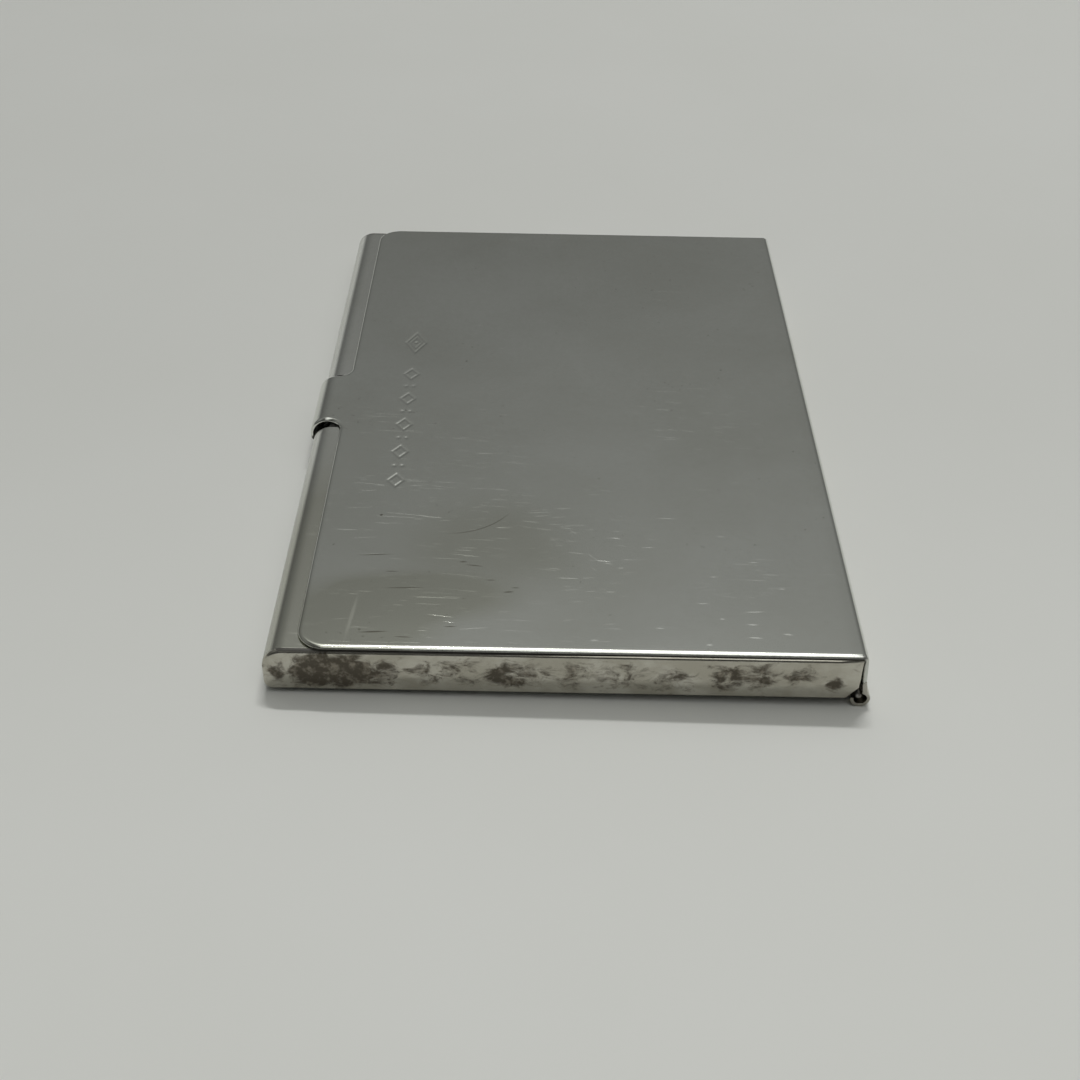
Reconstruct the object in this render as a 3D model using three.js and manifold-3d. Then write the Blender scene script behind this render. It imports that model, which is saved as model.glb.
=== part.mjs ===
// Hinged sheet-silver business card case, closed.
//
// The base is one bent sheet (bottom, nose, front lip, chamfer and rear wall) closed by two flat end caps.
// The lid is a second sheet: a plate that lies on the base, and a spine that turns down behind it.
// A five-knuckle hinge runs along the rear lower edge, and a thumb tab stands out of the lid's front edge.
//
// Frame: millimetres, +X along the case, -Y the opening edge, +Y the hinge edge, +Z up.
// The origin is the middle of the base of the whole object's box. Sections are drawn in case coordinates:
// y runs from the nose's front (0) to the hinge, z runs up from the underside of the bottom sheet.

import * as THREE from 'three';
import { mergeVertices } from 'three/addons/utils/BufferGeometryUtils.js';
import Module from 'manifold-3d';

const wasm = await Module();
wasm.setup();

// ---- Driving dimensions ----

const LENGTH = 93;              // overall, across both end caps
const BASE_HEIGHT = 5.1;        // underside of the bottom sheet to the top of the front lip
const REAR_FACE_Y = 59.7;       // outer face of the base's rear wall
const SHEET = 0.45;             // base sheet
const CAP_THICKNESS = 0.5;
const JOINT_GAP = 0.03;         // between pieces that are soldered or bent from one sheet

const NOSE_RADIUS = 2.3;        // outside, top of the front edge
const TOE_RADIUS = 0.9;         // outside, bottom of the front edge
const LIP_DEPTH = 6.4;          // nose front to the free edge of the front lip
const CHAMFER_RUN = 1.25;       // the rear lower edge, cut back to clear the hinge barrel
const CHAMFER_RISE = 1.5;       // how high the same cut reaches on the rear wall

const NOTCH_HALF_LENGTH = 6.2;  // thumb notch in the lip and the nose
const NOTCH_REAR_Y = 4.2;       // how far back the notch cuts into the lip
const NOTCH_FLOOR_Z = 2.3;      // how far down it cuts into the nose
const NOTCH_CORNER = 1.6;       // radius of its lower corners

const LID_FRONT_Y = 3.4;        // front edge of the lid plate
const LID_SHEET = 0.45;
const LID_REST_GAP = 0.06;      // lid plate above the lip and the end caps
const LID_CORNER = 3;           // plan radius of the two front corners
const SPINE_SHEET = 0.38;
const SPINE_GAP = 0.27;         // spine behind the rear wall
const SPINE_BOTTOM_Z = 1.95;
const BEND_RADIUS = 0.55;       // outside of the bend from plate to spine

const TAB_HALF_LENGTH = 5.1;    // where the tab is narrowest
const TAB_SHEET = 0.38;
const TAB_PROUD = 0.48;         // how far the tab stands in front of the nose
const TAB_BEND_RADIUS = 2.2;    // outside
const TAB_TIP_Z = 2.45;         // the tab's lower edge, in front of the nose
const TAB_ROOT_FILLET = 1.8;    // radius of the corners where the tab leaves the lid plate

const BARREL_RADIUS = 1;        // hinge knuckles, outside
const BARREL_WALL = 0.34;       // sheet of the curled knuckles, and wall of the tubes
const BARREL_Y = 59.9;          // hinge axis
const BARREL_Z = 0;             // level with the underside
const PIN_CLEARANCE = 0.04;
const PIN_RECESS = 0.4;         // pin end below the end of the barrel
const KNUCKLES = 5;             // alternately lid and base, starting and ending on the lid
const KNUCKLE_GAP = 0.12;
const CURL_START = 1.05;        // radians above +y where the lid sheet meets its curl
const CURL_END = Math.PI - 0.12; // radians above +y where the curl ends, past the bottom
const NECK_LEAN = Math.PI / 6;  // the inside of the curl starts this much further round
const WEB_FROM = 0.15;          // the solder web's reach along the chamfer's run
const WEB_TO = 1;
const WEB_ANGLES = [Math.PI, 0.8 * Math.PI, 0.6 * Math.PI];   // where the web meets the tube

const ARC_STEPS = 10;           // facets in a quarter turn of a bend
const BARREL_STEPS = 28;        // facets round a hinge knuckle and the pin
const CUT_MARGIN = 1;           // how far a cutting shape runs past the sheet it cuts

// ---- Worked out from those ----

const LID_UNDER_Z = BASE_HEIGHT + LID_REST_GAP;
const LID_TOP_Z = LID_UNDER_Z + LID_SHEET;
const SPINE_INNER_Y = REAR_FACE_Y + SPINE_GAP;
const SPINE_OUTER_Y = SPINE_INNER_Y + SPINE_SHEET;
const BORE_RADIUS = BARREL_RADIUS - BARREL_WALL;
const PIN_RADIUS = BORE_RADIUS - PIN_CLEARANCE;
const REAR_Y = BARREL_Y + BARREL_RADIUS;
const MIDDLE_Y = (REAR_Y - TAB_PROUD) / 2;
const UNDERSIDE_Z = BARREL_RADIUS - BARREL_Z;   // height of the bottom sheet above the barrel's lowest line

const silver = (color, roughness) => new THREE.MeshStandardMaterial({ color, roughness, metalness: 1 });
const polishedSilver = silver(0xc9c8c2, 0.18);
const dulledSilver = silver(0xaba79c, 0.34);
const hingeSteel = silver(0x6d6a66, 0.45);

// ---- Helpers ----

const ALONG = new THREE.Vector3(0, 0, 1);   // the directions of the case coordinates
const BACK = new THREE.Vector3(1, 0, 0);
const UP = new THREE.Vector3(0, 1, 0);

const at = (y, z) => new THREE.Vector2(y, z);

// Points of an arc from one angle to another: anticlockwise to a larger angle, clockwise to a smaller one.
function arc(centre, radius, from, to, steps = ARC_STEPS) {
  const curve = new THREE.EllipseCurve(centre.x, centre.y, radius, radius, from, to, to < from);
  return curve.getPoints(steps);
}

function prism(outline, depth, holes = []) {
  const shape = new THREE.Shape(outline);
  shape.holes = holes.map((points) => new THREE.Path(points));
  return new THREE.ExtrudeGeometry(shape, { depth, bevelEnabled: false });
}

// A closed solid of a section drawn in (y, z), run along the case between two places.
function alongCase(section, from, to, holes) {
  return prism(section, to - from, holes).translate(0, 0, from);
}

// A closed solid of an outline drawn in (along the case, y), from the underside up.
function upright(plan, height) {
  return prism(plan, height).applyMatrix4(new THREE.Matrix4().makeBasis(ALONG, BACK, UP));
}

// A closed solid of an outline drawn in (along the case, z), from one place to another across the case.
function acrossCase(face, from, to) {
  const turned = new THREE.Matrix4().makeBasis(ALONG.clone().negate(), UP, BACK);
  return prism(face, to - from).applyMatrix4(turned).translate(from, 0, 0);
}

function toSolid(geometry) {
  const bare = geometry.clone();
  bare.deleteAttribute('normal');
  bare.deleteAttribute('uv');
  const merged = mergeVertices(bare, 1e-5);
  return new wasm.Manifold(new wasm.Mesh({
    numProp: 3,
    vertProperties: Float32Array.from(merged.attributes.position.array),
    triVerts: Uint32Array.from(merged.index.array),
  }));
}

function toGeometry(solid) {
  const mesh = solid.getMesh();
  const geometry = new THREE.BufferGeometry();
  geometry.setAttribute('position', new THREE.BufferAttribute(Float32Array.from(mesh.vertProperties), 3));
  geometry.setIndex(new THREE.BufferAttribute(Uint32Array.from(mesh.triVerts), 1));
  geometry.computeVertexNormals();
  return geometry;
}

function named(name, geometry, material) {
  const mesh = new THREE.Mesh(geometry, material);
  mesh.name = name;
  return mesh;
}

// ---- Base ----

// The outside of the base from the front lip round the nose, the toe and the bottom to the chamfer's top,
// moved inwards by `inset`.
function baseOutline(inset) {
  const lean = inset * Math.tan(Math.atan2(CHAMFER_RISE, CHAMFER_RUN) / 2);
  const climb = inset * Math.tan(Math.atan2(CHAMFER_RUN, CHAMFER_RISE) / 2);
  return [
    ...arc(at(NOSE_RADIUS, BASE_HEIGHT - NOSE_RADIUS), NOSE_RADIUS - inset, Math.PI / 2, Math.PI),
    ...arc(at(TOE_RADIUS, TOE_RADIUS), TOE_RADIUS - inset, Math.PI, 1.5 * Math.PI),
    at(REAR_FACE_Y - CHAMFER_RUN - lean, inset),
    at(REAR_FACE_Y - inset, CHAMFER_RISE + climb),
  ];
}

function baseShell() {
  const section = [
    at(LIP_DEPTH, BASE_HEIGHT),
    ...baseOutline(0),
    at(REAR_FACE_Y, BASE_HEIGHT),
    at(REAR_FACE_Y - SHEET, BASE_HEIGHT),
    ...baseOutline(SHEET).reverse(),
    at(LIP_DEPTH, BASE_HEIGHT - SHEET),
  ];
  const half = LENGTH / 2 - CAP_THICKNESS - JOINT_GAP;
  return toGeometry(toSolid(alongCase(section, -half, half)).subtract(toSolid(thumbNotch())));
}

// The notch seen from the front: a wide slot with rounded lower corners, cut through the lip and the nose.
function thumbNotch() {
  const top = BASE_HEIGHT + CUT_MARGIN;
  const cornerX = NOTCH_HALF_LENGTH - NOTCH_CORNER;
  const cornerZ = NOTCH_FLOOR_Z + NOTCH_CORNER;
  const face = [
    at(-NOTCH_HALF_LENGTH, top),
    ...arc(at(-cornerX, cornerZ), NOTCH_CORNER, Math.PI, 1.5 * Math.PI),
    ...arc(at(cornerX, cornerZ), NOTCH_CORNER, 1.5 * Math.PI, 2 * Math.PI),
    at(NOTCH_HALF_LENGTH, top),
  ];
  return acrossCase(face, -CUT_MARGIN, NOTCH_REAR_Y);
}

function endCap(from) {
  return alongCase([at(REAR_FACE_Y, BASE_HEIGHT), ...baseOutline(0)], from, from + CAP_THICKNESS);
}

// ---- Lid ----

// Plate and spine in one section, with the bend between them, and rounded front corners in plan.
function lidCover() {
  const bend = at(SPINE_OUTER_Y - BEND_RADIUS, LID_TOP_Z - BEND_RADIUS);
  const section = [
    at(LID_FRONT_Y, LID_UNDER_Z),
    at(SPINE_INNER_Y, LID_UNDER_Z),
    at(SPINE_INNER_Y, SPINE_BOTTOM_Z),
    at(SPINE_OUTER_Y, SPINE_BOTTOM_Z),
    ...arc(bend, BEND_RADIUS, 0, Math.PI / 2),
    at(LID_FRONT_Y, LID_TOP_Z),
  ];
  const half = LENGTH / 2;
  const cornerX = half - LID_CORNER;
  const cornerY = LID_FRONT_Y + LID_CORNER;
  const plan = [
    at(half, REAR_Y),
    at(-half, REAR_Y),
    ...arc(at(-cornerX, cornerY), LID_CORNER, Math.PI, 1.5 * Math.PI),
    ...arc(at(cornerX, cornerY), LID_CORNER, 1.5 * Math.PI, 2 * Math.PI),
  ];
  const sheet = toSolid(alongCase(section, -half, half));
  return toGeometry(sheet.intersect(toSolid(upright(plan, LID_TOP_Z + CUT_MARGIN))));
}

// A tongue that runs on from the lid plate and bends down over the nose, wider at its root.
function thumbTab() {
  const rootY = LID_FRONT_Y - JOINT_GAP;
  const bend = at(TAB_BEND_RADIUS - TAB_PROUD, LID_TOP_Z - TAB_BEND_RADIUS);
  const section = [
    at(rootY, LID_TOP_Z),
    ...arc(bend, TAB_BEND_RADIUS, Math.PI / 2, Math.PI),
    at(-TAB_PROUD, TAB_TIP_Z),
    at(-TAB_PROUD + TAB_SHEET, TAB_TIP_Z),
    ...arc(bend, TAB_BEND_RADIUS - TAB_SHEET, Math.PI, Math.PI / 2),
    at(rootY, LID_TOP_Z - TAB_SHEET),
  ];
  const rootHalf = TAB_HALF_LENGTH + TAB_ROOT_FILLET;
  const waistY = rootY - TAB_ROOT_FILLET;
  const plan = [
    at(-TAB_HALF_LENGTH, -REAR_Y),
    at(TAB_HALF_LENGTH, -REAR_Y),
    ...arc(at(rootHalf, waistY), TAB_ROOT_FILLET, Math.PI, Math.PI / 2),
    ...arc(at(-rootHalf, waistY), TAB_ROOT_FILLET, Math.PI / 2, 0),
  ];
  const tongue = toSolid(alongCase(section, -rootHalf, rootHalf));
  return toGeometry(tongue.intersect(toSolid(upright(plan, LID_TOP_Z + CUT_MARGIN))));
}

// ---- Hinge ----

const axis = at(BARREL_Y, BARREL_Z);
const knuckleLength = (LENGTH - KNUCKLE_GAP * (KNUCKLES - 1)) / KNUCKLES;

// The lid's sheet comes down from the spine and curls round the pin: outside, bottom, then inside.
function lidKnuckle(from) {
  const neckTop = SPINE_BOTTOM_Z - JOINT_GAP;
  const curl = [
    at(SPINE_OUTER_Y, neckTop),
    ...arc(axis, BARREL_RADIUS, CURL_START, CURL_END - 2 * Math.PI, BARREL_STEPS),
    ...arc(axis, BORE_RADIUS, CURL_END - 2 * Math.PI, CURL_START + NECK_LEAN, BARREL_STEPS),
    at(SPINE_INNER_Y, neckTop),
  ];
  return alongCase(curl, from, from + knuckleLength);
}

// A tube soldered into the chamfer of the base, with the solder web between them.
function baseKnuckle(from) {
  const tube = arc(axis, BARREL_RADIUS, 0, 2 * Math.PI, BARREL_STEPS).slice(1);
  const bore = arc(axis, BORE_RADIUS, 0, 2 * Math.PI, BARREL_STEPS).slice(1);
  const ring = toSolid(alongCase(tube, from, from + knuckleLength, [bore]));

  const slope = CHAMFER_RISE / CHAMFER_RUN;
  const lift = JOINT_GAP * Math.hypot(1, slope);
  const onChamfer = (run) => at(REAR_FACE_Y - CHAMFER_RUN + run, run * slope - lift);
  const inWall = (angle) => at(
    BARREL_Y + (BARREL_RADIUS - BARREL_WALL / 2) * Math.cos(angle),
    BARREL_Z + (BARREL_RADIUS - BARREL_WALL / 2) * Math.sin(angle));
  const web = [
    onChamfer(WEB_FROM),
    ...WEB_ANGLES.map(inWall),
    onChamfer(WEB_TO),
  ];
  return toGeometry(ring.add(toSolid(alongCase(web, from, from + knuckleLength))));
}

function hingePin() {
  const length = LENGTH - 2 * PIN_RECESS;
  const rod = new THREE.CylinderGeometry(PIN_RADIUS, PIN_RADIUS, length, BARREL_STEPS);
  return rod.rotateX(Math.PI / 2).translate(BARREL_Y, BARREL_Z, 0);
}

// ---- Assembly ----

const base = new THREE.Group();
base.add(named('base_shell', baseShell(), polishedSilver));
base.add(named('end_cap_left', endCap(-LENGTH / 2), dulledSilver));
base.add(named('end_cap_right', endCap(LENGTH / 2 - CAP_THICKNESS), dulledSilver));
base.add(named('hinge_pin', hingePin(), hingeSteel));

const lid = new THREE.Group();
lid.add(named('lid_cover', lidCover(), polishedSilver));
lid.add(named('thumb_tab', thumbTab(), polishedSilver));

for (let i = 0; i < KNUCKLES; i += 1) {
  const from = -LENGTH / 2 + i * (knuckleLength + KNUCKLE_GAP);
  const onLid = i % 2 === 0;
  const count = Math.floor(i / 2) + 1;
  if (onLid) {
    lid.add(named(`lid_knuckle_${count}`, lidKnuckle(from), polishedSilver));
  } else {
    base.add(named(`base_knuckle_${count}`, baseKnuckle(from), polishedSilver));
  }
}

// Case coordinates (y, z, along the case) turned into the frame's (Y, Z, X).
const cardCase = new THREE.Group();
cardCase.rotation.set(Math.PI / 2, Math.PI / 2, 0);
cardCase.position.set(0, -MIDDLE_Y, UNDERSIDE_Z);
cardCase.add(base, lid);

export default cardCase;
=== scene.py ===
"""Looks of the sheet-silver business card case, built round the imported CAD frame.

Meshes are drawn in millimetres in the case's own coordinates and turned into the row frame as they are made:
along = +X of the frame, back = distance behind the nose's front, up = height above the base's underside.
"""

import math

import bmesh
import bpy
import numpy as np
from mathutils import Matrix, Vector


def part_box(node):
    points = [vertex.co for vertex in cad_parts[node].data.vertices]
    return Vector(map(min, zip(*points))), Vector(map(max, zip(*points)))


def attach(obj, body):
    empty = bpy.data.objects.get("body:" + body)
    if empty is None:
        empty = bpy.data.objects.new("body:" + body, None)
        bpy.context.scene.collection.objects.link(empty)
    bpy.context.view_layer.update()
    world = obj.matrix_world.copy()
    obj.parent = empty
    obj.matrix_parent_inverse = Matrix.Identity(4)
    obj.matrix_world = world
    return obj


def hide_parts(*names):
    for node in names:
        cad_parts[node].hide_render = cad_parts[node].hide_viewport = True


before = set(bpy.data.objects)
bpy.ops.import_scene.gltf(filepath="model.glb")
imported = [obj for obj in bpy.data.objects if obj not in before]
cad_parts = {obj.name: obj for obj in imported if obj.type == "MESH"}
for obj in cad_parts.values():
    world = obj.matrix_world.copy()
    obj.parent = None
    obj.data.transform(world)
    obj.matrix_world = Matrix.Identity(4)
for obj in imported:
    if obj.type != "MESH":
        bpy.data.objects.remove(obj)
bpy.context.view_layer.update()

# ---- Sizes from the frame, in millimetres ----

MM = 0.001
BASE_LOW, BASE_HIGH = (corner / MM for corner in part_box("base_shell"))
LID_LOW, LID_HIGH = (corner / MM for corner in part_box("lid_cover"))
TAB_LOW, TAB_HIGH = (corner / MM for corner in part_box("thumb_tab"))
CAP_LOW, CAP_HIGH = (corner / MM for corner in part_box("end_cap_right"))
BARREL_LOW, BARREL_HIGH = (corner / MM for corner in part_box("lid_knuckle_1"))
PIN_LOW, PIN_HIGH = (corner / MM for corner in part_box("hinge_pin"))

HALF = LID_HIGH.x
LID_HALF = HALF - 0.15      # the lid stops a little short of the case's ends
NOSE_Y = BASE_LOW.y
UNDER_Z = BASE_LOW.z
BASE_HEIGHT = BASE_HIGH.z - UNDER_Z
REAR_FACE = BASE_HIGH.y - NOSE_Y
LID_FRONT = LID_LOW.y - NOSE_Y
LID_TOP = LID_HIGH.z - UNDER_Z
SPINE_BACK = LID_HIGH.y - NOSE_Y
SPINE_FOOT = LID_LOW.z - UNDER_Z
TAB_FRONT = TAB_LOW.y - NOSE_Y
TAB_TIP = TAB_LOW.z - UNDER_Z
TAB_ROOT_HALF = TAB_HIGH.x
BARREL_BACK = (PIN_LOW.y + PIN_HIGH.y) / 2 - NOSE_Y
BARREL_UP = (PIN_LOW.z + PIN_HIGH.z) / 2 - UNDER_Z
BARREL_RADIUS = BARREL_UP + UNDER_Z - BARREL_LOW.z

# ---- Shape details, in millimetres ----

BASE_SHEET = 0.45
NOSE_RADIUS = 2.3
TOE_RADIUS = 0.9
LIP_EDGE = 6.4              # nose front to the lip's free edge
CHAMFER_RUN = 1.25          # the rear lower edge, cut back to clear the hinge barrel
CHAMFER_RISE = 1.5
CHAMFER_SLOPE = math.atan2(CHAMFER_RISE, CHAMFER_RUN)
BULGE = 0.8                 # the underside's middle below its ends
TOE_CLEARANCE = 0.38        # between the table and the front lower edge at the ends
CAP_RIM = 0.42              # radius of the end plates' worn rim
SHEET_EDGE = 0.07           # rounding of the base sheet's cut edges

NOTCH_HALF = 6.0
NOTCH_FLARE = 0.2           # how much wider the notch is at the back of the lip
NOTCH_BACK = 4.2
NOTCH_FLOOR = 2.8
NOTCH_CORNER = 1.4

LID_SHEET = 0.42
LID_CORNER = 3.0            # radius of the lid's front corners, in plan
RIM_RUN = 0.45              # width and depth of the lid's worn upper rim
RIM_DROP = 0.31
UNDER_RIM_RUN = 0.14        # width of its lower rim
SPINE_SHEET = 0.50
BEND_RADIUS = 0.80
BEND_BACK = SPINE_BACK - 0.18  # the spine leans forward by this much towards its top
DOME = 0.12                 # height of the lid's middle over its edges
RIPPLE = 0.010              # height of its faint waves

TAB_HALF = 5.1
TAB_BEND = 2.2
TAB_FLARE = 1.8             # radius of the corners where the tab leaves the plate

CURL_WALL = 0.34
CURL_START = 1.05           # radians above the line that runs back from the pin
CURL_END = math.pi - 0.12
NECK_RISE = 0.25            # how far the curl's neck reaches up inside the spine
PIN_NUB = 1.3               # length of the thinner end of the pin

ENGRAVED_BACK = LID_FRONT + 7.6
ENGRAVED_REACH = 1.7        # half the width of the finely meshed strip round the ornaments
ENGRAVED_DEPTH = 0.05
GROOVE = 0.15               # half width of an engraved line

WELD = 1e-8                 # metres
NORMAL_WEIGHT = 80          # how much the large faces count in the shading, of 100


# ---- Helpers ----

def to_frame(along, back, up):
    """Case coordinates in millimetres to a row frame point in metres."""
    return Vector((along, NOSE_Y + back, UNDER_Z + up)) * MM


def new_piece(name, points, faces, body, nodes, material):
    """A mesh of case points that rides on a body and stands for CAD nodes."""
    mesh = bpy.data.meshes.new(name)
    mesh.from_pydata([to_frame(*p) for p in points], [], faces)
    mesh.validate()
    mesh.update()
    piece = bpy.data.objects.new(name, mesh)
    bpy.context.scene.collection.objects.link(piece)
    mesh.materials.append(material)
    work = bmesh.new()
    work.from_mesh(mesh)
    bmesh.ops.remove_doubles(work, verts=work.verts, dist=WELD)
    bmesh.ops.recalc_face_normals(work, faces=work.faces)
    work.to_mesh(mesh)
    work.free()
    mesh.shade_smooth()
    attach(piece, body)
    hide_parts(*nodes)
    return piece


def round_edges(piece, width):
    """Rounds a piece's sharp edges and evens its shading."""
    bevel = piece.modifiers.new("edges", "BEVEL")
    bevel.width = width * MM
    bevel.segments = 3
    bevel.limit_method = "ANGLE"
    bevel.angle_limit = math.radians(40)
    bevel.use_clamp_overlap = True
    even_normals(piece)


def even_normals(piece):
    """Shading normals that follow the large faces."""
    weighted = piece.modifiers.new("normals", "WEIGHTED_NORMAL")
    weighted.keep_sharp = False
    weighted.weight = NORMAL_WEIGHT


def thicken(piece, sheet):
    """Gives an open sheet its thickness, inwards."""
    solid = piece.modifiers.new("sheet", "SOLIDIFY")
    solid.thickness = sheet * MM
    solid.offset = -1
    solid.use_even_offset = True


def arc(back, up, radius, start, stop, steps):
    """Points (back, up) along an arc, both ends included."""
    angles = np.linspace(start, stop, steps + 1)
    return [(back + radius * math.cos(a), up + radius * math.sin(a)) for a in angles]


def straight(a, b, steps):
    """Points from a to b without a itself."""
    return [tuple(np.array(a) + (np.array(b) - np.array(a)) * k / steps) for k in range(1, steps + 1)]


def grid_faces(columns, rows):
    """Quads of a grid stored row by row."""
    return [(r * columns + c, r * columns + c + 1, (r + 1) * columns + c + 1, (r + 1) * columns + c)
            for r in range(rows - 1) for c in range(columns - 1)]


def tube_faces(rings, steps):
    """Quads between closed rings of points, stored ring by ring."""
    return [(r * steps + k, r * steps + (k + 1) % steps, (r + 1) * steps + (k + 1) % steps, (r + 1) * steps + k)
            for r in range(rings - 1) for k in range(steps)]


def prism(name, section, start, stop, body, nodes, material, hole=None):
    """A closed bar of one section along the case, with an optional round hole of as many points."""
    n = len(section)
    points = [(x, b, u) for x in (start, stop) for b, u in section]
    faces = [(k, (k + 1) % n, n + (k + 1) % n, n + k) for k in range(n)]
    if hole is None:
        faces += [tuple(range(n)), tuple(range(n, 2 * n))]
    else:
        points += [(x, b, u) for x in (start, stop) for b, u in hole]
        faces += [(2 * n + k, 2 * n + (k + 1) % n, 3 * n + (k + 1) % n, 3 * n + k) for k in range(n)]
        faces += [(side * n + k, side * n + (k + 1) % n, (2 + side) * n + (k + 1) % n, (2 + side) * n + k)
                  for side in (0, 1) for k in range(n)]
    return new_piece(name, points, faces, body, nodes, material)


# ---- Materials ----

class Nodes:
    """A few short calls for making a node tree."""

    def __init__(self, tree):
        self.tree = tree
        self.tree.nodes.clear()

    def add(self, kind, **settings):
        node = self.tree.nodes.new(kind)
        for key, value in settings.items():
            if key in node.inputs:
                node.inputs[key].default_value = value
            else:
                setattr(node, key, value)
        return node

    def link(self, source, target):
        self.tree.links.new(source, target)

    def math(self, operation, a, b=None, clamp=False):
        node = self.tree.nodes.new("ShaderNodeMath")
        node.operation = operation
        node.use_clamp = clamp
        for socket, value in zip(node.inputs, (a, b)):
            if value is None:
                continue
            if isinstance(value, (int, float)):
                socket.default_value = value
            else:
                self.link(value, socket)
        return node.outputs[0]

    def noise(self, vector, scale, detail=4.0, roughness=0.55, distortion=0.0):
        node = self.tree.nodes.new("ShaderNodeTexNoise")
        node.inputs["Scale"].default_value = scale
        node.inputs["Detail"].default_value = detail
        node.inputs["Roughness"].default_value = roughness
        node.inputs["Distortion"].default_value = distortion
        self.link(vector, node.inputs["Vector"])
        return node.outputs["Fac"]

    def mapped(self, vector, location=(0, 0, 0), turn=(0, 0, 0), scale=(1, 1, 1), kind="POINT"):
        node = self.tree.nodes.new("ShaderNodeMapping")
        node.vector_type = kind
        node.inputs["Location"].default_value = location
        node.inputs["Rotation"].default_value = [math.radians(a) for a in turn]
        node.inputs["Scale"].default_value = scale
        self.link(vector, node.inputs["Vector"])
        return node.outputs["Vector"]

    def ramp(self, value, low, high, out_low=0.0, out_high=1.0, smooth=True):
        node = self.tree.nodes.new("ShaderNodeMapRange")
        node.interpolation_type = "SMOOTHSTEP" if smooth else "LINEAR"
        node.inputs["From Min"].default_value = low
        node.inputs["From Max"].default_value = high
        node.inputs["To Min"].default_value = out_low
        node.inputs["To Max"].default_value = out_high
        self.link(value, node.inputs["Value"])
        return node.outputs["Result"]

    def blend(self, factor, a, b):
        node = self.tree.nodes.new("ShaderNodeMix")
        node.data_type = "RGBA"
        for socket, value in zip((node.inputs[0], node.inputs[6], node.inputs[7]), (factor, a, b)):
            if isinstance(value, (int, float, tuple)):
                socket.default_value = value
            else:
                self.link(value, socket)
        return node.outputs[2]

    def length(self, vector):
        node = self.tree.nodes.new("ShaderNodeVectorMath")
        node.operation = "LENGTH"
        self.link(vector, node.inputs[0])
        return node.outputs["Value"]

    def patch(self, vector, centre, size, turn=0.0, core=0.35):
        """1 in the middle of a soft ellipsoid, 0 outside it."""
        local = self.mapped(vector, centre, (0, 0, turn), size, kind="TEXTURE")
        return self.ramp(self.length(local), 1.0, core)

    def ring(self, vector, centre, radius, width):
        """1 on a thin circle seen from above, 0 away from it."""
        local = self.mapped(vector, centre, scale=(1, 1, 1e6), kind="TEXTURE")
        off = self.math("ABSOLUTE", self.math("SUBTRACT", self.length(local), radius))
        return self.ramp(off, width, 0.0)

    def most(self, masks):
        """The greatest of several masks."""
        result = masks[0]
        for mask in masks[1:]:
            result = self.math("MAXIMUM", result, mask)
        return result

    def bump(self, shader, height, strength, distance):
        node = self.add("ShaderNodeBump", Strength=strength, Distance=distance)
        self.link(height, node.inputs["Height"])
        self.link(node.outputs[0], shader.inputs["Normal"])


def surface(name, **settings):
    """A new material, the calls for its nodes, and its shader."""
    material = bpy.data.materials.new(name)
    material.use_nodes = True
    n = Nodes(material.node_tree)
    out = n.add("ShaderNodeOutputMaterial")
    shader = n.add("ShaderNodeBsdfPrincipled", **settings)
    n.link(shader.outputs[0], out.inputs["Surface"])
    return material, n, shader


def millimetres(n):
    """Frame coordinates in millimetres, the same on every piece."""
    coords = n.add("ShaderNodeTexCoord")
    return n.mapped(coords.outputs["Object"], scale=(1 / MM, 1 / MM, 1 / MM))


def coords_of(n, place):
    """Distance from the middle, place across and height of a point, in frame millimetres."""
    parts = n.add("ShaderNodeSeparateXYZ")
    n.link(place, parts.inputs[0])
    return n.math("ABSOLUTE", parts.outputs["X"]), parts.outputs["Y"], parts.outputs["Z"]


def facing(n, axis):
    """How far a surface faces along one axis of the frame, -1 to 1."""
    parts = n.add("ShaderNodeSeparateXYZ")
    n.link(n.add("ShaderNodeTexCoord").outputs["Normal"], parts.inputs[0])
    return parts.outputs[axis]


def in_frame(along, back, up=0.0):
    """A place on the case as the materials see it: frame coordinates in millimetres."""
    return (along, NOSE_Y + back, UNDER_Z + up)


FILM = (0.50, 0.49, 0.40)                # share of each colour that a thick film of grease lets through
FILM_COVER = 0.6
HAZE = (0.62, 0.61, 0.55, 1)             # fine dull grain
STAIN = (0.16, 0.14, 0.10, 1)
DULLED = (0.38, 0.36, 0.30, 1)           # silver under the first thin tarnish
DARK_BROWN = (0.082, 0.070, 0.054, 1)
PALE_BROWN = (0.27, 0.243, 0.198, 1)
# Dark colour of soiling on the hinge's ends, and of painted shade on the lid, the base and the end plates.
DIRT_AND_SHADE = (0.03, 0.026, 0.02, 1)

ROUGH_IN_SCRATCHES = 0.20
ROUGH_IN_TARNISH = 0.20
ROUGH_IN_DIRT_AND_SHADE = 0.40
RIM_DENTS = 7.0                          # depth of the dents on the end rims, against the fine grain
GRAIN_DEPTH = 0.00002                    # metres

# Sets of hairline scratches: degrees from along the case, scratches per millimetre, how rare they are.
HAIRLINES = ((88, 4.0, 0.66), (82, 5.0, 0.68), (-84, 4.5, 0.69), (41, 3.5, 0.73))
HAIRLINE_LENGTH = 7.0


def hairlines(n, place):
    """Fine straight scratches as a mask, closer together in some places than in others."""
    masks = []
    for turn, density, rarity in HAIRLINES:
        scale = (HAIRLINE_LENGTH, 1 / density, 1 / density)
        turned = n.mapped(place, turn=(0, 0, turn), scale=scale, kind="TEXTURE")
        wander = n.noise(turned, 1.0, detail=2.0, roughness=0.7, distortion=0.15)
        masks.append(n.ramp(wander, rarity, rarity + 0.05))
    crowded = n.ramp(n.noise(place, 0.06, detail=3.0), 0.42, 0.72, 0.0, 0.60)
    return n.math("MULTIPLY", n.most(masks), crowded)


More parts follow.
